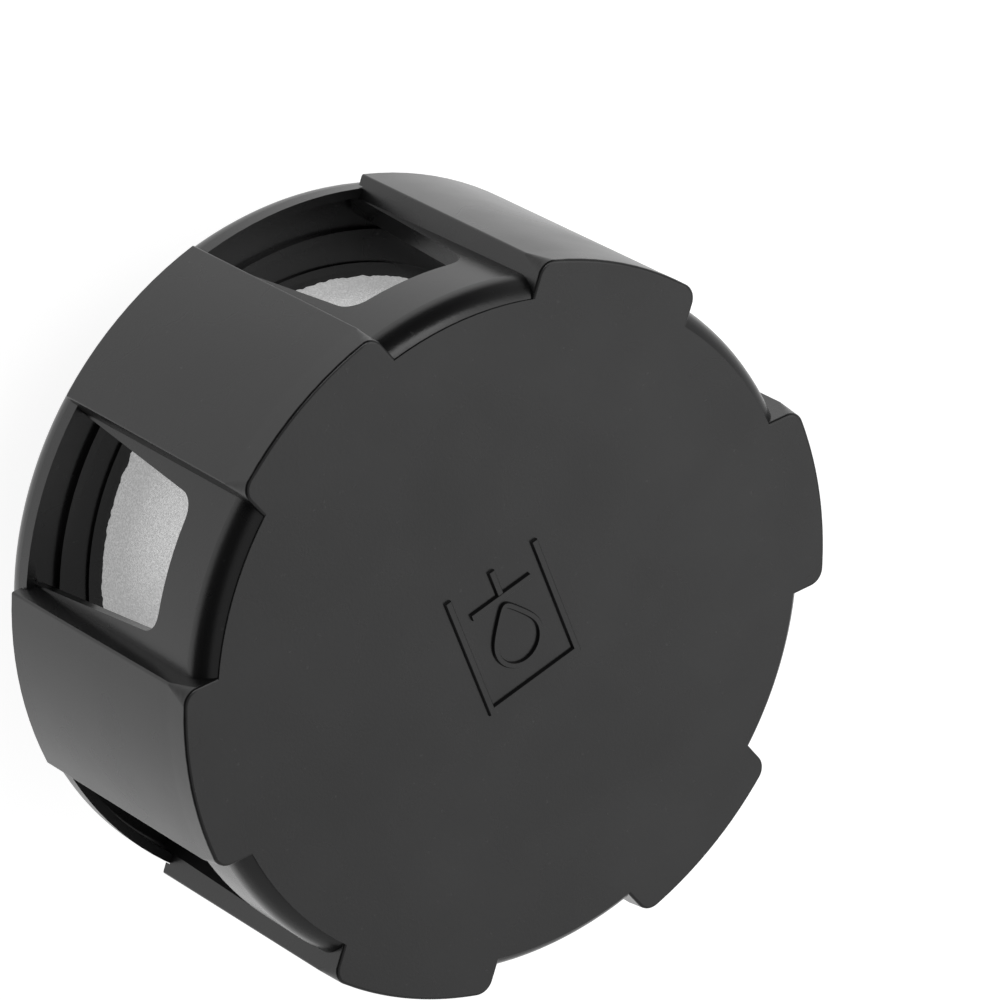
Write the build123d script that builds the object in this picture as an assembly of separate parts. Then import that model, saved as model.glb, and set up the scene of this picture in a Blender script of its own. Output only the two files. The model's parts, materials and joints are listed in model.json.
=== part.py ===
from build123d import *
import math
import os

# Screw-in filler breather cap for a hydraulic oil tank.
#
# Air enters through six windows in the cover, crosses a ring of foam, and reaches the tank through a
# two-way check valve and the splash cup in the threaded neck. Millimetres, +Z towards the cover's face,
# origin at the centre of the splash cup's flat end, which is the lowest point of the cap.

# --- cover ---
rib_count = 6
rib_width = 22.4
rib_radius = 44.0            # at the tray end
rib_rise = 2.6               # how far a rib stands out from the wall between the ribs
rib_draft = 0.4              # radius lost by the time the rib reaches the face
rib_corner = 2.2             # rounding of a rib's two outer corners at the face
rib_side_edge = 0.3          # and along the rest of the rib
rib_corner_height = 3.5      # the rounding fades out over this height
rib_face_edge = 0.35
wall = 2.3
face_thickness = 2.6
face_edge_inset = 2.0        # between the ribs the flat face ends this far inside the wall
face_step = 0.3              # and stands this far proud of the shoulder
shoulder_round = 3.4         # wall to face, between the ribs
window_height = 25.2
window_margin_tray = 0.1     # from a window's side to the rib beside it, at the tray end
window_margin_face = 2.4     # and at the face end
window_corner = 2.6
cover_lap = 0.8              # how far a rib's end laps down outside the tray's rim
lap_clearance = 0.15
leg_gap = 0.6                # the wall's legs stop this far above the tray's floor

# --- base: tray, neck and valve seat in one moulding ---
cap_height = 57.0
seat_z = 16.5                # underside of the tray, which seals on the tank's filler neck
floor_thickness = 2.4
tray_round = 3.5
rim_wall = 1.1
rim_clearance = 0.1          # between the cover's legs and the rim round them
tray_inner_round = 0.5
rim_height = 5.2
ridge_inset = 5.5            # from the rim to the ridge on the tray's floor
ridge_width = 1.0
ridge_height = 0.8
neck_radius = 22.7           # root of the thread
neck_end_z = 5.2
neck_wall = 2.5              # root of the thread to the bore that holds the splash cup's spigot
neck_step = 1.0              # the spigot stops against this step
thread_depth = 1.9
thread_pitch = 5.6
thread_root_width = 4.0
thread_flank_width = 2.6
thread_phase = 210.0         # direction, in degrees, in which the thread leaves the neck's end
valve_hole = 7.5
lip_width = 1.2
lip_height = 0.8
locating_ring_wall = 0.8
locating_ring_height = 1.6

# --- splash cup that closes the neck ---
cup_inset = 0.4              # from the root of the thread to the cup's edge
cup_plate = 1.9
cup_edge = 0.9
cup_skirt_wall = 1.7
cup_skirt_height = 3.8
notch_count = 8
notch_width = 6.8
vent_radius = 5.6
vent_wall = 1.6
vent_height = 11.0
spigot_wall = 1.6
spigot_height = 9.0
spigot_clearance = 0.1
bead_height = 0.25
bead_width = 0.7

# --- foam and its core ---
foam_inset = 7.4             # from the cover's wall to the foam
foam_end_gap = 0.2
core_wall = 1.6
core_posts = 10
core_post_width = 3.0
core_hoop = 2.2
core_rows = 3
fit_gap = 0.2

# --- check valve ---
housing_bore = 11.7
housing_wall = 1.5
housing_height = 17.1
housing_top = 1.6
housing_flange_radius = 18.4
flange_clearance = 1.4       # from the housing's flange to the base's locating ring
housing_flange = 1.8
gasket_thickness = 0.8
housing_vents = 6
housing_vent_width = 6.0
screw_count = 3
screw_circle = 15.9
screw_shank = 1.3
screw_head = 2.3
screw_head_height = 1.6
screw_length = 6.0
boss_wall = 1.5
plate_radius = 11.3
plate_thickness = 1.6
plate_seal_thickness = 1.2
plate_seal_inner = 7.3
plate_seal_outer = 10.3
spring_collar_radius = 8.3
spring_collar_wall = 0.9
spring_collar_height = 1.3
air_hole_count = 6
air_hole_radius = 1.2
air_hole_circle = 4.3
stem_radius = 1.52
stem_clearance = 0.06
stem_head_radius = 3.0
stem_head_height = 0.8
stem_length = 8.9
stem_groove_depth = 0.4
flap_radius = 6.4
flap_thickness = 1.4
clip_radius = 3.3
clip_thickness = 0.6
clip_tail = 0.8
pressure_wire = 0.8
pressure_coil_radius = 8.9
pressure_turns = 5.5
vacuum_wire = 0.45
vacuum_coil_radius = 2.25
vacuum_turns = 4.5

# --- places worked out from the sizes above ---
face_z = cap_height
rib_step = 360 / rib_count
wall_radius = rib_radius - rib_rise
cavity_radius = wall_radius - wall
rim_inner = wall_radius + rim_clearance
tray_radius = rim_inner + rim_wall
ridge_radius = rim_inner - ridge_inset
foam_radius = cavity_radius - foam_inset
face_edge_radius = wall_radius - face_edge_inset
bay_half_angle = rib_step / 2 - math.degrees(math.asin(rib_width / 2 / wall_radius))
bay_half_width = wall_radius * math.sin(math.radians(bay_half_angle))
thread_radius = neck_radius + thread_depth
neck_bore = neck_radius - neck_wall
cup_radius = neck_radius - cup_inset
ring_bore = housing_flange_radius + flange_clearance
core_bore = ring_bore + locating_ring_wall + fit_gap
core_radius = core_bore + core_wall
floor_z = seat_z + floor_thickness
rim_z = seat_z + rim_height
rib_end_z = rim_z - cover_lap
cavity_z = face_z - face_thickness
window_top_z = rim_z + window_height
lip_z = floor_z + lip_height
plate_z = lip_z + plate_seal_thickness
plate_top_z = plate_z + plate_thickness
housing_z = floor_z + gasket_thickness
housing_top_z = floor_z + housing_height
pressure_seat_z = housing_top_z - housing_top
flap_z = plate_z - flap_thickness
stem_head_z = flap_z - stem_head_height
clip_z = stem_head_z + stem_head_height + stem_length - clip_tail - clip_thickness


def turned(outline):
    """A closed (radius, z) outline turned about the axis."""
    return revolve(make_face(Plane.XZ * Polyline(*outline, close=True)), Axis.Z, 360)


def tube(inner, outer, low, high):
    return Pos(0, 0, low) * (
        Cylinder(outer, high - low, align=(Align.CENTER, Align.CENTER, Align.MIN))
        - Cylinder(inner, high - low, align=(Align.CENTER, Align.CENTER, Align.MIN))
    )


def rod(radius, low, high, x=0.0, y=0.0):
    return Pos(x, y, low) * Cylinder(radius, high - low, align=(Align.CENTER, Align.CENTER, Align.MIN))


def around(shape, count, start=0.0):
    """Copies of a shape, evenly spaced about the axis."""
    return [Rot(0, 0, start + i * 360 / count) * shape for i in range(count)]


def rib_section(width, radius, corner, height):
    """A rib's outline at one height: parallel sides, an outer arc and two rounded corners."""
    half = width / 2
    reach = math.sqrt(radius**2 - half**2)
    sides = Polyline((reach, -half), (0, -half), (0, half), (reach, half))
    outline = make_face([*sides.edges(), ThreePointArc((reach, half), (radius, 0), (reach, -half))])
    corners = outline.vertices().filter_by_position(Axis.X, reach - 0.01, reach + 0.01)
    return Pos(0, 0, height) * fillet(corners, corner)


def outer_rib():
    """One rib along +X, slightly conical, its corners rounded off towards the face."""
    top_radius = rib_radius - rib_draft
    fade_z = face_z - rib_corner_height
    rib = loft(
        [
            rib_section(rib_width, rib_radius, rib_side_edge, rib_end_z),
            rib_section(rib_width, top_radius, rib_side_edge, fade_z),
            rib_section(rib_width, top_radius, rib_corner, face_z),
        ],
        ruled=True,
    )
    face_edges = rib.edges().filter_by_position(Axis.Z, face_z - 0.01, face_z + 0.01)
    return fillet(face_edges.filter_by(lambda e: e.center().X > wall_radius * 0.9), rib_face_edge)


def rib_pocket():
    """The hollow inside a rib, open to the cavity."""
    low = rib_end_z - 1
    return loft(
        [
            rib_section(rib_width - 2 * wall, rib_radius - wall, rib_side_edge, low),
            rib_section(rib_width - 2 * wall, rib_radius - rib_draft - wall, rib_side_edge, cavity_z),
        ],
        ruled=True,
    )


def window_cutter():
    """A window along +X, wide at the tray and narrow at the face, cut on past the wall both ways."""
    depth = 2 * wall
    low = floor_z - 1
    top_half = bay_half_width - window_margin_face
    slope = (window_margin_face - window_margin_tray) / window_height
    low_half = top_half + slope * (window_top_z - low)
    plane = Plane(origin=(cavity_radius - depth, 0, 0), x_dir=(0, 1, 0), z_dir=(1, 0, 0))
    outline = make_face(
        Polyline(
            (-low_half, low),
            (low_half, low),
            (top_half, window_top_z),
            (-top_half, window_top_z),
            close=True,
        )
    )
    top_corners = outline.vertices().sort_by(Axis.Y)[-2:]
    outline = fillet(top_corners, window_corner)
    return extrude(plane * outline, amount=3 * depth)


def make_cover():
    step_z = face_z - face_step
    rise = math.sqrt(shoulder_round**2 - (shoulder_round - face_edge_inset) ** 2)
    profile = [
        Line((0, rim_z), (wall_radius, rim_z)),
        Line((wall_radius, rim_z), (wall_radius, step_z - rise)),
        RadiusArc((wall_radius, step_z - rise), (face_edge_radius, step_z), -shoulder_round),
        Line((face_edge_radius, step_z), (face_edge_radius, face_z)),
        Line((face_edge_radius, face_z), (0, face_z)),
        Line((0, face_z), (0, rim_z)),
    ]
    shell = revolve(Plane.XZ * make_face(profile), Axis.Z, 360)
    shell = shell + around(outer_rib(), rib_count)
    cavity = rod(cavity_radius, floor_z - 1, cavity_z)
    rebate = rod(tray_radius + lap_clearance, rib_end_z - 1, rim_z)
    shell = shell - [cavity, rebate] - around(rib_pocket(), rib_count)
    shell = shell + tube(cavity_radius, wall_radius, floor_z + leg_gap, rim_z)
    shell = shell + tube(cavity_radius, wall_radius, rim_z, rim_z + cover_lap)
    shell = shell - around(window_cutter(), rib_count, rib_step / 2)
    foam_ring = tube(foam_radius + fit_gap, foam_radius + fit_gap + ridge_width, cavity_z - 2, cavity_z + 1)
    core_ring = tube(
        ring_bore,
        ring_bore + locating_ring_wall,
        cavity_z - locating_ring_height,
        cavity_z + 1,
    )
    return shell + foam_ring + core_ring


def make_thread():
    """A round-crested ridge wound along the neck, cut square by the neck's end and run into the tray."""
    rise = seat_z + floor_thickness / 2 - neck_end_z
    path = Helix(pitch=thread_pitch, height=rise, radius=neck_radius)
    depth = thread_radius - neck_radius
    flank = [
        (-0.3, thread_root_width / 2),
        (0.30 * depth, 0.50 * thread_flank_width),
        (0.65 * depth, 0.44 * thread_flank_width),
        (0.89 * depth, 0.30 * thread_flank_width),
        (depth, 0.12 * thread_flank_width),
    ]
    outline = Polyline(*flank, *[(x, -y) for x, y in reversed(flank)], close=True)
    section = Plane(origin=path @ 0, x_dir=(1, 0, 0), z_dir=path % 0) * make_face(outline)
    ridge = sweep(section, path, is_frenet=True)
    ridge = Pos(0, 0, neck_end_z) * Rot(0, 0, thread_phase) * ridge
    return ridge & tube(neck_radius - 0.5, thread_radius + 1, neck_end_z, seat_z + floor_thickness)


def make_base():
    outline = [
        Line((valve_hole, seat_z), (tray_radius - tray_round, seat_z)),
        RadiusArc((tray_radius - tray_round, seat_z), (tray_radius, seat_z + tray_round), -tray_round),
        Line((tray_radius, seat_z + tray_round), (tray_radius, rim_z)),
        Line((tray_radius, rim_z), (rim_inner, rim_z)),
        Line((rim_inner, rim_z), (rim_inner, floor_z + tray_inner_round)),
        RadiusArc(
            (rim_inner, floor_z + tray_inner_round),
            (rim_inner - tray_inner_round, floor_z),
            tray_inner_round,
        ),
        Line((rim_inner - tray_inner_round, floor_z), (valve_hole, floor_z)),
        Line((valve_hole, floor_z), (valve_hole, seat_z)),
    ]
    base = revolve(Plane.XZ * make_face(outline), Axis.Z, 360)
    base = base + tube(neck_bore, neck_radius, neck_end_z, seat_z + floor_thickness / 2)
    base = base + tube(neck_bore - neck_step, neck_bore + 0.5, spigot_height, seat_z + floor_thickness / 2)
    base = base + make_thread()
    base = base + tube(ridge_radius, ridge_radius + ridge_width, floor_z - 1, floor_z + ridge_height)
    base = base + tube(
        foam_radius + fit_gap, foam_radius + fit_gap + ridge_width, floor_z - 1, floor_z + ridge_height / 2
    )
    base = base + tube(valve_hole + lip_width / 2, valve_hole + 1.5 * lip_width, floor_z - 1, lip_z)
    base = base + tube(
        ring_bore,
        ring_bore + locating_ring_wall,
        floor_z - 1,
        floor_z + locating_ring_height,
    )
    bead_z = spigot_height - 2 * bead_width
    base = base - tube(
        neck_bore - 1,
        neck_bore + bead_height + spigot_clearance,
        bead_z - bead_width,
        bead_z + bead_width,
    )
    screw_end = housing_z + housing_flange - screw_length
    boss = rod(screw_shank + boss_wall, screw_end - 1, floor_z - 0.5, x=screw_circle)
    hole = rod(screw_shank, screw_end, floor_z + 1, x=screw_circle)
    base = base + around(boss, screw_count, rib_step / 2)
    return base - around(hole, screw_count, rib_step / 2)


def make_splash_cup():
    plate = rod(cup_radius, 0, cup_skirt_height)
    plate = fillet(plate.edges().sort_by(Axis.Z)[0], cup_edge)
    plate = plate - rod(cup_radius - cup_skirt_wall, cup_plate, cup_skirt_height + 1)
    spigot_radius = neck_bore - spigot_clearance
    spigot = tube(spigot_radius - spigot_wall, spigot_radius, cup_plate / 2, spigot_height)
    bead_z = spigot_height - 2 * bead_width
    bead = turned(
        [
            (spigot_radius - spigot_wall / 2, bead_z - bead_width / 2),
            (spigot_radius, bead_z - bead_width / 2),
            (spigot_radius + bead_height, bead_z),
            (spigot_radius, bead_z + bead_width / 2),
            (spigot_radius - spigot_wall / 2, bead_z + bead_width / 2),
        ]
    )
    cup = plate + spigot + bead
    cup = cup + rod(vent_radius + vent_wall, cup_plate / 2, vent_height)
    notch = Pos(vent_radius + vent_wall + 2, 0, cup_plate) * Box(
        cup_radius, notch_width, spigot_height, align=(Align.MIN, Align.CENTER, Align.MIN)
    )
    cup = cup - around(notch, notch_count)
    cup = cup - rod(vent_radius, -1, vent_height + 1)
    mouth = cup.edges().filter_by(GeomType.CIRCLE).filter_by(
        lambda e: abs(e.radius - vent_radius) < 0.01 and abs(e.center().Z) < 0.01
    )
    return fillet(mouth, cup_edge / 2)


def make_foam():
    return tube(core_radius + fit_gap, foam_radius, floor_z, cavity_z - foam_end_gap)


def make_filter_core():
    """A tube whose wall is left as posts and hoops, so that air can cross it."""
    core = tube(core_bore, core_radius, floor_z, cavity_z)
    height = (cavity_z - floor_z - (core_rows + 1) * core_hoop) / core_rows
    for row in range(core_rows):
        low = floor_z + core_hoop + row * (height + core_hoop)
        slots = tube(core_radius - 2 * core_wall, core_radius + 1, low, low + height)
        post = Pos(core_radius, 0, low) * Box(
            4 * core_wall, core_post_width, height, align=(Align.CENTER, Align.CENTER, Align.MIN)
        )
        core = core - (slots - around(post, core_posts))
    return core


def make_valve_housing():
    outer = housing_bore + housing_wall
    housing = tube(housing_bore, outer, housing_z, housing_top_z)
    housing = housing + tube(vent_radius, outer, pressure_seat_z, housing_top_z)
    housing = housing + tube(housing_bore, housing_flange_radius, housing_z, housing_z + housing_flange)
    vent_low = plate_top_z + 1
    vent = Pos(housing_bore, 0, vent_low) * Box(
        4 * housing_wall,
        housing_vent_width,
        pressure_seat_z - 2 - vent_low,
        align=(Align.CENTER, Align.CENTER, Align.MIN),
    )
    vent = fillet(vent.edges().filter_by(Axis.X), 1)
    housing = housing - around(vent, housing_vents)
    hole = rod(screw_shank + 0.1, floor_z - 1, housing_z + housing_flange + 1, x=screw_circle)
    return housing - around(hole, screw_count, rib_step / 2)


def make_housing_gasket():
    gasket = tube(housing_bore, housing_flange_radius, floor_z, housing_z)
    hole = rod(screw_shank + 0.1, floor_z - 1, housing_z + 1, x=screw_circle)
    return gasket - around(hole, screw_count, rib_step / 2)


def make_housing_screws():
    top = housing_z + housing_flange
    shank = rod(screw_shank, top - screw_length, top, x=screw_circle)
    head = rod(screw_head, top, top + screw_head_height, x=screw_circle)
    head = fillet(head.edges().sort_by(Axis.Z)[-1], screw_head_height / 2)
    slot = Pos(screw_circle, 0, top + screw_head_height) * Box(3 * screw_head, 0.7, 1.4)
    return around(shank + head - slot, screw_count, rib_step / 2)


def make_pressure_plate():
    plate = rod(plate_radius, plate_z, plate_top_z)
    plate = plate + tube(
        spring_collar_radius - spring_collar_wall,
        spring_collar_radius,
        plate_z,
        plate_top_z + spring_collar_height,
    )
    air_hole = rod(air_hole_radius, plate_z - 1, plate_top_z + 1, x=air_hole_circle)
    plate = plate - around(air_hole, air_hole_count)
    return plate - rod(stem_radius + stem_clearance, plate_z - 1, plate_top_z + 1)


def make_vacuum_stem():
    shank_z = stem_head_z + stem_head_height
    head = rod(stem_head_radius, stem_head_z, shank_z)
    head = fillet(head.edges().sort_by(Axis.Z)[0], stem_head_height / 2)
    stem = head + rod(stem_radius, shank_z, shank_z + stem_length)
    groove = tube(stem_radius - stem_groove_depth, stem_radius + 1, clip_z, clip_z + clip_thickness)
    return stem - groove


def make_stem_clip():
    """A flat clip that is pushed onto the stem's groove from the side."""
    grip_radius = stem_radius - stem_groove_depth + stem_clearance
    clip = tube(grip_radius, clip_radius, clip_z, clip_z + clip_thickness)
    mouth = Pos(0, 0, clip_z) * Box(
        2 * clip_radius,
        1.7 * grip_radius,
        3 * clip_thickness,
        align=(Align.MIN, Align.CENTER, Align.CENTER),
    )
    return clip - mouth


def make_spring(wire, coil_radius, turns, low, high):
    """A coil spring with flat ends between two seats."""
    rise = high - low
    path = Helix(pitch=rise / turns, height=rise, radius=coil_radius)
    section = Plane(origin=path @ 0, x_dir=(1, 0, 0), z_dir=path % 0) * Circle(wire / 2)
    coil = Pos(0, 0, low) * sweep(section, path, is_frenet=True)
    return coil & rod(coil_radius + wire, low, high)


parts = {
    "cover": make_cover(),
    "base": make_base(),
    "splash_cup": make_splash_cup(),
    "filter_foam": make_foam(),
    "filter_core": make_filter_core(),
    "valve_housing": make_valve_housing(),
    "housing_gasket": make_housing_gasket(),
    "housing_screws": Compound(make_housing_screws()),
    "pressure_plate": make_pressure_plate(),
    "pressure_seal": tube(plate_seal_inner, plate_seal_outer, lip_z, plate_z),
    "pressure_spring": make_spring(
        pressure_wire, pressure_coil_radius, pressure_turns, plate_top_z, pressure_seat_z
    ),
    "vacuum_flap": tube(stem_radius + stem_clearance, flap_radius, flap_z, plate_z),
    "vacuum_stem": make_vacuum_stem(),
    "vacuum_spring": make_spring(vacuum_wire, vacuum_coil_radius, vacuum_turns, plate_top_z, clip_z),
    "stem_clip": make_stem_clip(),
}

os.makedirs("parts", exist_ok=True)
for node, shape in parts.items():
    export_step(shape, f"parts/{node}.step")
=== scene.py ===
import bpy
import json
import math
import numpy as np
from mathutils import Matrix, Vector


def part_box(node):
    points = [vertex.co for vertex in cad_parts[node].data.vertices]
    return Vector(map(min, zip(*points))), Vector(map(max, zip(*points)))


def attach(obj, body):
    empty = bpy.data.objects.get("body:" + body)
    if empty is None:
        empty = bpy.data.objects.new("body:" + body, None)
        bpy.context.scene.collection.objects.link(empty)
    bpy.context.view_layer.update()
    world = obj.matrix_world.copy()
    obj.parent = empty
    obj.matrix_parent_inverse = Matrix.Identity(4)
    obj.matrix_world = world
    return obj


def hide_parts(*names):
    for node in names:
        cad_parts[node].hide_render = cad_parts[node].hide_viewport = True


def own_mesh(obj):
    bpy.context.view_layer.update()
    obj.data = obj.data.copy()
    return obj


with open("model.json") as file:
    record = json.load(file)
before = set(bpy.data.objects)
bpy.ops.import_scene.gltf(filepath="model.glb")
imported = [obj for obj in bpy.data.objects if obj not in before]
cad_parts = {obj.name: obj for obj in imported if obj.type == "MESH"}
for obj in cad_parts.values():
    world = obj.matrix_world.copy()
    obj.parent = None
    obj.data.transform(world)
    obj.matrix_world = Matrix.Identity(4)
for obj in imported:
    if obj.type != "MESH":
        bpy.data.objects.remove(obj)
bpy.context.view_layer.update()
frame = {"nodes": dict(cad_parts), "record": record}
nodes = frame["nodes"]
mm = 0.001
print("frame loaded:", len(nodes), "nodes")


def ringFaces(rows, columns):
    # quads between neighbouring rows, each row a closed ring: its last point joins its first
    r = np.arange(rows - 1)[:, None] * columns
    c = np.arange(columns)[None, :]
    n = (c + 1) % columns
    return np.stack([r + c, r + n, r + columns + n, r + columns + c], -1).reshape(-1, 4)


def makeMesh(name, points, faces, smoothAngle=35):
    # points in millimetres; faces is an array of quads
    mesh = bpy.data.meshes.new(name)
    mesh.vertices.add(len(points))
    mesh.vertices.foreach_set("co", (np.asarray(points, float) * mm).ravel())
    mesh.loops.add(faces.size)
    mesh.loops.foreach_set("vertex_index", faces.ravel())
    mesh.polygons.add(len(faces))
    mesh.polygons.foreach_set("loop_start", np.arange(0, faces.size, faces.shape[1]))
    mesh.update(calc_edges=True)
    mesh.validate()
    piece = bpy.data.objects.new(name, mesh)
    bpy.context.scene.collection.objects.link(piece)
    mesh.shade_smooth()
    mesh.set_sharp_from_angle(angle=math.radians(smoothAngle))
    return piece


def dress(piece, material):
    piece.data.materials.clear()
    piece.data.materials.append(material)
    return piece


def feed(tree, socket, value):
    # a number goes into the socket itself, an output is linked to it
    if isinstance(value, bpy.types.NodeSocket):
        tree.links.new(value, socket)
    else:
        socket.default_value = value


def addNoise(tree, vector, scale, detail=2.0):
    noise = tree.nodes.new("ShaderNodeTexNoise")
    tree.links.new(vector, noise.inputs["Vector"])
    feed(tree, noise.inputs["Scale"], scale)
    noise.inputs["Detail"].default_value = detail
    return noise.outputs["Fac"]


def addRange(tree, value, fromRange, toRange=(0, 1), soft=False):
    # turns one range of values into another, evenly or with a soft step
    step = tree.nodes.new("ShaderNodeMapRange")
    step.interpolation_type = "SMOOTHSTEP" if soft else "LINEAR"
    step.inputs["From Min"].default_value, step.inputs["From Max"].default_value = fromRange
    step.inputs["To Min"].default_value, step.inputs["To Max"].default_value = toRange
    tree.links.new(value, step.inputs["Value"])
    return step.outputs["Result"]


def addMath(tree, operation, *values):
    node = tree.nodes.new("ShaderNodeMath")
    node.operation = operation
    for socket, value in zip(node.inputs, values):
        feed(tree, socket, value)
    return node.outputs[0]


def addColourMix(tree, factor, first, second):
    mix = tree.nodes.new("ShaderNodeMix")
    mix.data_type = "RGBA"
    tree.links.new(factor, mix.inputs[0])
    mix.inputs[6].default_value = (*first, 1)
    mix.inputs[7].default_value = (*second, 1)
    return mix.outputs[2]


def addBump(tree, height, strength, distance):
    bump = tree.nodes.new("ShaderNodeBump")
    bump.inputs["Strength"].default_value = strength
    bump.inputs["Distance"].default_value = distance
    tree.links.new(height, bump.inputs["Height"])
    return bump.outputs["Normal"]


def addPlace(tree, kind="Object"):
    return tree.nodes.new("ShaderNodeTexCoord").outputs[kind]


def newMaterial(name):
    material = bpy.data.materials.new(name)
    material.use_nodes = True
    return material, material.node_tree, material.node_tree.nodes["Principled BSDF"]


def newGroup(name, inputs, outputs):
    group = bpy.data.node_groups.new(name, "ShaderNodeTree")
    for label, value in inputs.items():
        socket = group.interface.new_socket(name=label, in_out="INPUT", socket_type="NodeSocketFloat")
        socket.default_value = value
    for label in outputs:
        group.interface.new_socket(name=label, in_out="OUTPUT", socket_type="NodeSocketFloat")
    enter = group.nodes.new("NodeGroupInput")
    leave = group.nodes.new("NodeGroupOutput")
    return group, enter.outputs, leave.inputs


skin = {
    "grainHeight": 0.35,
    "sinkDetail": 3.0,
    "scratchTurn": (0.3, 0.2, 0.7),
    "scratchStretch": (0.06, 1.0, 1.0),
    "scratchDetail": 4.0,
    "scratchRange": (0.66, 0.74),
    "scratchDepth": 0.15,
    "speckScale": 1400.0,
    "speckRange": (0.70, 0.78),
}


def mouldedSkinGroup():
    # fine grain, soft sink marks, hair scratches and dust of a moulded plastic skin
    group, given, result = newGroup(
        "mouldedSkin",
        {"Grain Scale": 3500.0, "Sink Scale": 60.0, "Scratch Scale": 260.0, "Dust": 0.3},
        ["Height", "Shade", "Dust Mask"],
    )
    where = addPlace(group)
    grain = addNoise(group, where, given["Grain Scale"])
    sink = addNoise(group, where, given["Sink Scale"], skin["sinkDetail"])
    stretch = group.nodes.new("ShaderNodeMapping")
    stretch.inputs["Rotation"].default_value = skin["scratchTurn"]
    stretch.inputs["Scale"].default_value = skin["scratchStretch"]
    group.links.new(where, stretch.inputs["Vector"])
    scratch = addNoise(group, stretch.outputs["Vector"], given["Scratch Scale"], skin["scratchDetail"])
    hair = addRange(group, scratch, skin["scratchRange"])
    speck = addRange(group, addNoise(group, where, skin["speckScale"]), skin["speckRange"])
    height = addMath(group, "MULTIPLY_ADD", grain, skin["grainHeight"], sink)
    group.links.new(addMath(group, "MULTIPLY_ADD", hair, -skin["scratchDepth"], height), result["Height"])
    group.links.new(sink, result["Shade"])
    group.links.new(addMath(group, "MULTIPLY", speck, given["Dust"]), result["Dust Mask"])
    return group


mouldedSkin = mouldedSkinGroup()

blackLook = {
    "colour": (0.0095, 0.0095, 0.0098),
    "dustColour": (0.06, 0.06, 0.06),
    "dust": 0.35,
    "specular": 0.5,
    "roughness": 0.27,
    "roughnessSpread": 0.04,
    "shadeRange": (0.3, 0.7),
    "grainScale": 3200.0,
    "bump": 0.06,
    "bumpDistance": 0.0004,
}
paleLook = dict(blackLook, colour=(0.55, 0.55, 0.52), dust=0.1, roughness=0.42)
rubberLook = dict(blackLook, colour=(0.012, 0.012, 0.012), roughness=0.6, bump=0.25)


def mouldedPlastic(name, look):
    material, tree, shader = newMaterial(name)
    shader.inputs["Specular IOR Level"].default_value = look["specular"]
    surface = tree.nodes.new("ShaderNodeGroup")
    surface.node_tree = mouldedSkin
    surface.inputs["Grain Scale"].default_value = look["grainScale"]
    surface.inputs["Dust"].default_value = look["dust"]
    colour = addColourMix(tree, surface.outputs["Dust Mask"], look["colour"], look["dustColour"])
    spread = look["roughnessSpread"]
    rough = addRange(
        tree,
        surface.outputs["Shade"],
        look["shadeRange"],
        (look["roughness"] - spread, look["roughness"] + spread),
    )
    normal = addBump(tree, surface.outputs["Height"], look["bump"], look["bumpDistance"])
    tree.links.new(colour, shader.inputs["Base Color"])
    tree.links.new(rough, shader.inputs["Roughness"])
    tree.links.new(normal, shader.inputs["Normal"])
    return material


steelLook = {"colour": (0.58, 0.57, 0.55), "lineScale": 2500.0, "roughness": (0.22, 0.42)}


def drawnSteel(name, look):
    # spring wire: metal with a fine drawn grain in its gloss
    material, tree, shader = newMaterial(name)
    shader.inputs["Base Color"].default_value = (*look["colour"], 1)
    shader.inputs["Metallic"].default_value = 1
    grain = addNoise(tree, addPlace(tree), look["lineScale"])
    tree.links.new(addRange(tree, grain, (0, 1), look["roughness"]), shader.inputs["Roughness"])
    return material


foamLook = {
    "cellScale": 4200.0,
    "cellRange": (0.1, 0.75),
    # painted shade: the colour of the cell pits, darker where shade falls in them
    "pitShade": (0.66, 0.66, 0.66),
    "strut": (0.96, 0.96, 0.96),
    "roughness": (0.75, 0.45),
    "bump": 0.35,
    "bumpDistance": 0.0003,
    # painted glow: how much light of its own the foam gives off
    "inner": 0.4,
}


def cellFoam(name, look):
    # open cells: pale struts with painted shade in the darker pits between them, and a painted glow, a
    # little light of its own, that stands for the light scattered inside the cells
    material, tree, shader = newMaterial(name)
    # painted glow: the foam shines light of its own, in the colour of its cells with their painted pit shade
    shader.inputs["Emission Strength"].default_value = look["inner"]
    cells = tree.nodes.new("ShaderNodeTexVoronoi")
    cells.inputs["Scale"].default_value = look["cellScale"]
    tree.links.new(addPlace(tree), cells.inputs["Vector"])
    distance = cells.outputs["Distance"]
    # painted shade darkens each cell towards its middle, the pit
    colour = addColourMix(tree, addRange(tree, distance, look["cellRange"]), look["pitShade"], look["strut"])
    tree.links.new(colour, shader.inputs["Base Color"])
    tree.links.new(colour, shader.inputs["Emission Color"])
    tree.links.new(addRange(tree, distance, (0, 1), look["roughness"]), shader.inputs["Roughness"])
    tree.links.new(addBump(tree, distance, look["bump"], look["bumpDistance"]), shader.inputs["Normal"])
    return material


finishes = {
    "moulded_black": mouldedPlastic("blackPlastic", blackLook),
    "valve_plastic": mouldedPlastic("palePlastic", paleLook),
    "seal_rubber": mouldedPlastic("sealRubber", rubberLook),
    "spring_steel": drawnSteel("springSteel", steelLook),
    "foam": cellFoam("whiteFoam", foamLook),
}
for part in frame["record"]["subparts"]:
    dress(nodes[part["node"]], finishes[part["material_slot"]])
print("materials made")


def addPiece(piece, slotName, body):
    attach(piece, body)
    return dress(piece, finishes[slotName])


foam = {  # millimetres
    "around": 660,
    "sideRows": 88,
    "edgeRows": 5,
    "topRows": 14,
    "edge": 1.3,
    "coreGap": 0.2,
    "boreBand": 1.0,
    "rough": 0.34,
    "topShare": 0.6,
    "seed": 7,
}


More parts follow.
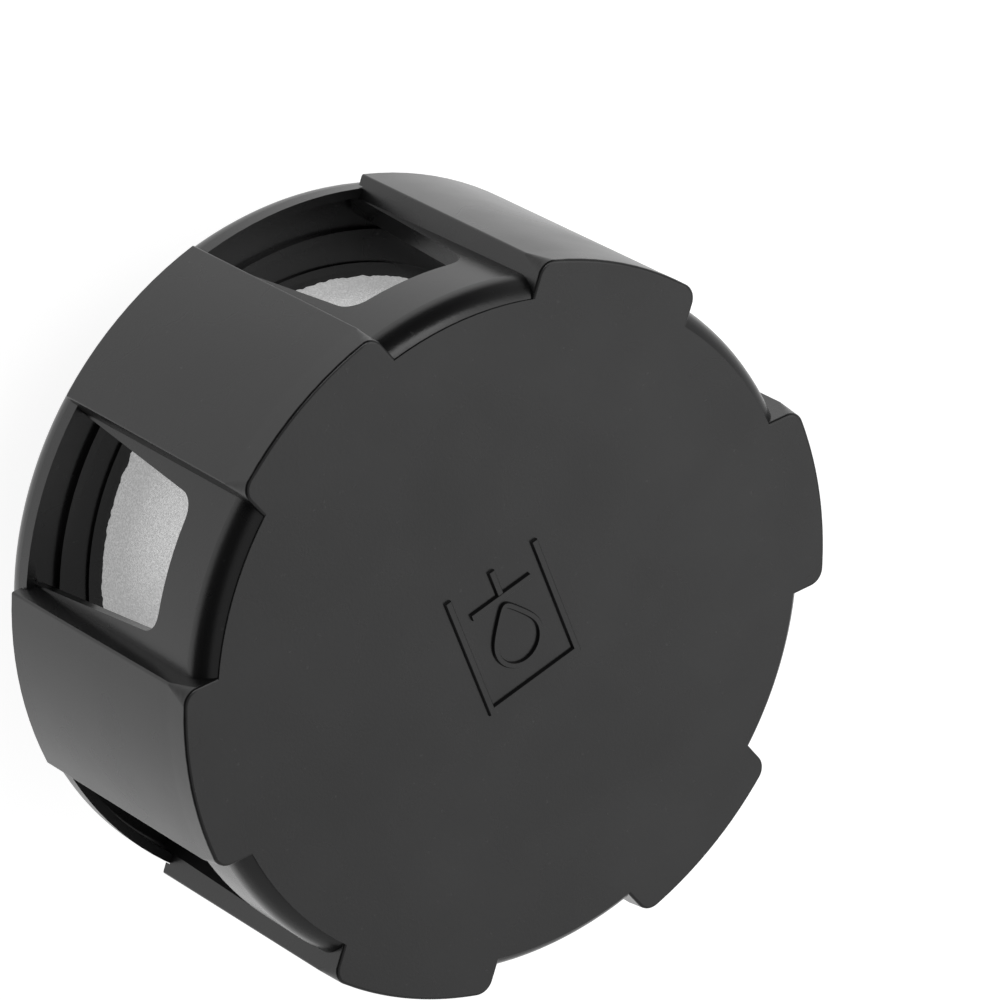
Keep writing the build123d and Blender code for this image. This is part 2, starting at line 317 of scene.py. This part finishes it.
def makeFoam():
    # a ring: its outline (radius, height) goes up the outside, over the top, down the bore and back,
    # and every point is pushed in by a random depth, so that the skin looks torn and grainy
    low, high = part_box("filter_foam")
    outer = high.x / mm
    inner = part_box("filter_core")[1].x / mm + foam["coreGap"]
    bottom, top = low.z / mm, high.z / mm
    rng = np.random.default_rng(foam["seed"])
    edge = foam["edge"]
    turn = np.linspace(0, math.pi / 2, foam["edgeRows"])
    side = np.linspace(bottom + edge, top - edge, foam["sideRows"])[1:-1]
    across = np.linspace(outer - edge, inner, foam["topRows"])[1:]
    outline = np.concatenate([
        np.stack([outer - edge + edge * np.sin(turn), bottom + edge - edge * np.cos(turn)], 1),
        np.stack([np.full(len(side), outer), side], 1),
        np.stack([outer - edge + edge * np.cos(turn), top - edge + edge * np.sin(turn)], 1),
        np.stack([across, np.full(len(across), top)], 1),
        np.stack([across[::-1], np.full(len(across), bottom)], 1)[:-1],
    ])
    rows, columns = len(outline), foam["around"]
    angle = np.linspace(0, 2 * math.pi, columns, endpoint=False)
    noise = rng.random((rows, columns))
    noise = (noise + np.roll(noise, 1, 0) + np.roll(noise, 1, 1) + np.roll(noise, (1, 1), (0, 1))) / 4
    awayFromBore = (outline[:, 0] > inner + foam["boreBand"])[:, None]
    push = foam["rough"] * noise * awayFromBore
    radius = outline[:, 0][:, None] - push
    inwards = np.sign(outline[:, 1] - (top + bottom) / 2)[:, None]
    height = outline[:, 1][:, None] - inwards * push * foam["topShare"]
    points = np.stack([radius * np.cos(angle), radius * np.sin(angle), height], -1).reshape(-1, 3)
    faces = ringFaces(rows + 1, columns) % len(points)
    piece = makeMesh("filterFoam", points, faces, smoothAngle=180)
    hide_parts("filter_foam")
    return addPiece(piece, "foam", "cap")


makeFoam()
print("foam made")


springs = {  # millimetres
    "pressureSpring": {
        "node": "pressure_spring",
        "body": "cap",
        "joint": "pressure_lift",
        "wire": 0.8,
        "turns": 5.5,
    },
    "vacuumSpring": {
        "node": "vacuum_spring",
        "body": "pressure_valve",
        "joint": "vacuum_drop",
        "wire": 0.45,
        "turns": 4.5,
    },
}
springGrid = {"along": 64, "around": 12, "flatTurns": 0.6, "smoothAngle": 50}


def makeSpring(name, values):
    # a round wire carried along a helix: its height stays level for the first and last part of a turn,
    # so that the ends sit flat, and rises evenly between them
    low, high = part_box(values["node"])
    wire, turns = values["wire"], values["turns"]
    bottom, top = low.z / mm, high.z / mm
    coil = high.x / mm - wire / 2
    k = springGrid["around"]
    n = int(turns * springGrid["along"])
    turned = np.linspace(0, turns, n)[:, None]
    flat = springGrid["flatTurns"]
    rise = np.clip((turned - flat) / (turns - 2 * flat), 0, 1)
    angle = 2 * math.pi * turned
    around = np.linspace(0, 2 * math.pi, k, endpoint=False)[None, :]
    radius = coil + wire / 2 * np.cos(around)
    height = bottom + wire / 2 + (top - bottom - wire) * rise + wire / 2 * np.sin(around)
    points = np.stack([radius * np.cos(angle), radius * np.sin(angle), height], -1).reshape(-1, 3)
    i = np.arange(k // 2 - 1)
    end = np.stack([i, i + 1, k - 2 - i, k - 1 - i], -1)
    faces = np.concatenate([ringFaces(n, k)[:, ::-1], end, (n - 1) * k + end[:, ::-1]])
    piece = makeMesh(name, points, faces, springGrid["smoothAngle"])
    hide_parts(values["node"])
    addPiece(piece, "spring_steel", values["body"])
    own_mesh(piece)


for name, values in springs.items():
    makeSpring(name, values)
print("springs made")


sign = {  # millimetres and degrees, in the plane of the face
    "centre": (-0.3, 1.4),
    "turn": 12.0,
    "width": 12.6,
    "height": 15.6,
    "line": 1.05,
    "raise": 0.38,
    "sink": 0.3,
    "halfWidths": (0.5, 0.42, 0.3),  # of the line at its foot, on its flank and at its top
    "liftShares": (0.55, 1.0),  # on its flank and at its top
    "mitreLimit": 0.35,
    "smoothAngle": 50,
    "drop": 3.1,
    "dropLine": 0.8,
    "dropPinch": 0.45,
    "dropPoint": 0.55,
    "dropLow": 0.12,
    "dropSteps": 60,
    "bar": 0.34,
    "barHeight": 0.27,
    "pipeGap": 0.4,
    "pipeTop": 0.5,
}


def stroke(path, width, closed=False):
    # a raised line: a flat-topped section with sloping sides carried along a path in the plane;
    # at each corner the section stands on the mean direction and is widened by the mitre
    path = np.asarray(path, float)
    ahead = np.roll(path, -1, 0) - path
    behind = path - np.roll(path, 1, 0)
    if not closed:
        ahead[-1] = behind[-1]
        behind[0] = ahead[0]
    ahead /= np.linalg.norm(ahead, axis=1)[:, None]
    behind /= np.linalg.norm(behind, axis=1)[:, None]
    along = ahead + behind
    along /= np.linalg.norm(along, axis=1)[:, None]
    side = np.stack([-along[:, 1], along[:, 0]], 1)
    square = np.stack([-ahead[:, 1], ahead[:, 0]], 1)
    mitre = 1 / np.maximum(sign["mitreLimit"], (side * square).sum(1))
    halves, heights = np.array(sign["halfWidths"]), np.array(sign["liftShares"])
    across = np.concatenate([-halves, halves[::-1]]) * width
    lift = np.concatenate([[-sign["sink"]], heights * sign["raise"]])
    lift = np.concatenate([lift, lift[::-1]])
    xy = path[:, None, :] + side[:, None, :] * (across[None, :, None] * mitre[:, None, None])
    points = np.concatenate([xy, np.broadcast_to(lift, xy.shape[:2])[..., None]], -1)
    n, k = points.shape[:2]
    faces = ringFaces(n + 1, k)[:, [0, 3, 2, 1]] % (n * k)
    if not closed:
        end = np.array([[0, 1, 2, 3], [0, 3, 4, 5]])
        faces = np.concatenate([faces[: (n - 1) * k], end, (n - 1) * k + end[:, ::-1]])
    return points.reshape(-1, 3), faces


def makeSign():
    # an open tank that holds a drop, with a short vent pipe over it, drawn with raised lines;
    # the drop is a circle whose upper half is drawn out to a point
    w, h, line, r = sign["width"], sign["height"], sign["line"], sign["drop"]
    t = np.linspace(0.5 * math.pi, 2.5 * math.pi, sign["dropSteps"] + 1)[:-1]
    point = np.clip(np.sin(t), 0, 1) ** 3
    dropX = r * np.cos(t) * (1 - sign["dropPinch"] * point)
    dropY = r * np.sin(t) + sign["dropPoint"] * r * point - sign["dropLow"] * h
    bar, barHeight = w * sign["bar"], h * sign["barHeight"]
    strokes = [
        stroke([[-w / 2, h / 2], [-w / 2, -h / 2], [w / 2, -h / 2], [w / 2, h / 2]], line),
        stroke(np.stack([dropX, dropY], 1), sign["dropLine"] * line, closed=True),
        stroke([[-bar, barHeight], [bar, barHeight]], line),
        stroke([[0, barHeight + sign["pipeGap"] * line], [0, h * sign["pipeTop"]]], line),
    ]
    starts = np.cumsum([0] + [len(each[0]) for each in strokes])
    points = np.concatenate([each[0] for each in strokes])
    faces = np.concatenate([each[1] + start for each, start in zip(strokes, starts)])
    a = math.radians(sign["turn"])
    x = points[:, 0] * math.cos(a) - points[:, 1] * math.sin(a) + sign["centre"][0]
    y = points[:, 0] * math.sin(a) + points[:, 1] * math.cos(a) + sign["centre"][1]
    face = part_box("cover")[1].z / mm
    piece = makeMesh("faceSign", np.stack([x, y, points[:, 2] + face], 1), faces, sign["smoothAngle"])
    return addPiece(piece, "moulded_black", "cap")


makeSign()
print("sign made")


studio = {  # metres; directions are unit vectors, and light is a share of full white
    "floorHalf": 3.0,
    "floorDrop": 0.0001,
    "floorColour": 0.4,
    "floorGlow": 0.9,
    "floorRoughness": 0.9,
    "floorNear": 0.92,
    "floorFade": (0.10, 0.22),
    "floorFar": (0.55, 0.05),  # away from the dim side, and on it
    "walls": (0.5, 0.03),  # the same two
    "dimSide": (-0.715, 0.7, 0.0),
    "dimFade": (-0.25, 0.3),
    "ceiling": (0.03, 1.25),  # at the horizon, and overhead
    "ceilingRise": (0.5, 0.78),
    "ceilingSide": (0.25, 0.6),
    "ceilingSideLight": (0.3, 1.55),
}
keyLight = {"place": (0.15, 0.55, 0.75), "aim": (0, 0, 0.03), "size": (0.5, 0.3), "power": 1.2}
view = {
    "place": (-0.29457, 0.30641, 0.54814),
    "right": (0.80706, -0.14671, 0.57195),
    "up": (0.37012, 0.88042, -0.29644),
    "lens": 209.05,
    "sensor": 36,
    "clipStart": 0.01,
}


def addDimSide(tree, vector, light):
    # one side of the room is dim: the cosine between a direction and the dim side, softly stepped
    unit = tree.nodes.new("ShaderNodeVectorMath")
    unit.operation = "NORMALIZE"
    cosine = tree.nodes.new("ShaderNodeVectorMath")
    cosine.operation = "DOT_PRODUCT"
    cosine.inputs[1].default_value = studio["dimSide"]
    tree.links.new(vector, unit.inputs[0])
    tree.links.new(unit.outputs[0], cosine.inputs[0])
    return addRange(tree, cosine.outputs["Value"], studio["dimFade"], light, soft=True)


def addCameraRay(tree, light):
    # the camera itself sees full light
    seen = tree.nodes.new("ShaderNodeLightPath")
    return addMath(tree, "MAXIMUM", light, seen.outputs["Is Camera Ray"])


def makeFloor():
    # pale to the camera everywhere; for light that bounces off the object it is pale near the object
    # and darker further out, most of all on the dim side
    half, drop = studio["floorHalf"] / mm, studio["floorDrop"] / mm
    corners = np.array([[-1, -1], [1, -1], [1, 1], [-1, 1]]) * half
    piece = makeMesh("floor", np.column_stack([corners, np.full(4, -drop)]), np.array([[0, 1, 2, 3]]))
    material, tree, shader = newMaterial("paleFloor")
    where = addPlace(tree)
    shader.inputs["Roughness"].default_value = studio["floorRoughness"]
    shader.inputs["Specular IOR Level"].default_value = 0.0
    shader.inputs["Emission Color"].default_value = (1, 1, 1, 1)
    away = tree.nodes.new("ShaderNodeVectorMath")
    away.operation = "LENGTH"
    tree.links.new(where, away.inputs[0])
    near = tree.nodes.new("ShaderNodeMix")
    near.inputs[2].default_value = studio["floorNear"]
    tree.links.new(addRange(tree, away.outputs["Value"], studio["floorFade"], soft=True), near.inputs[0])
    tree.links.new(addDimSide(tree, where, studio["floorFar"]), near.inputs[3])
    light = addCameraRay(tree, near.outputs[0])
    tree.links.new(addMath(tree, "MULTIPLY", light, studio["floorGlow"]), shader.inputs["Emission Strength"])
    tree.links.new(addMath(tree, "MULTIPLY", light, studio["floorColour"]), shader.inputs["Base Color"])
    dress(piece, material)


def makeSky():
    # a room with a wide white ceiling, brighter towards one side, and pale walls except on the dim side
    world = bpy.data.worlds.new("sky")
    world.use_nodes = True
    tree = world.node_tree
    where = addPlace(tree, "Generated")
    split = tree.nodes.new("ShaderNodeSeparateXYZ")
    tree.links.new(where, split.inputs["Vector"])
    overhead = addRange(tree, split.outputs["Z"], studio["ceilingRise"], studio["ceiling"], soft=True)
    sideways = addRange(tree, split.outputs["X"], studio["ceilingSide"], studio["ceilingSideLight"])
    ceiling = addMath(tree, "MULTIPLY", overhead, sideways)
    room = addMath(tree, "MAXIMUM", ceiling, addDimSide(tree, where, studio["walls"]))
    background = tree.nodes["Background"]
    background.inputs["Color"].default_value = (1, 1, 1, 1)
    tree.links.new(addCameraRay(tree, room), background.inputs["Strength"])
    bpy.context.scene.world = world


def makeLight():
    data = bpy.data.lights.new("keyLight", "AREA")
    data.shape = "RECTANGLE"
    data.size, data.size_y = keyLight["size"]
    data.energy = keyLight["power"]
    lamp = bpy.data.objects.new("keyLight", data)
    lamp.location = keyLight["place"]
    ahead = Vector(keyLight["aim"]) - Vector(keyLight["place"])
    lamp.rotation_euler = ahead.to_track_quat("-Z", "Y").to_euler()
    bpy.context.scene.collection.objects.link(lamp)


def makeCamera():
    data = bpy.data.cameras.new("camera")
    data.sensor_width = view["sensor"]
    data.lens = view["lens"]
    data.clip_start = view["clipStart"]
    camera = bpy.data.objects.new("camera", data)
    right, up = Vector(view["right"]), Vector(view["up"])
    turn = Matrix((right, up, right.cross(up))).transposed().to_4x4()
    camera.matrix_world = Matrix.Translation(view["place"]) @ turn
    bpy.context.scene.collection.objects.link(camera)
    bpy.context.scene.camera = camera


makeFloor()
makeSky()
makeLight()
makeCamera()
bpy.context.scene.view_settings.view_transform = "Standard"
print("studio made")
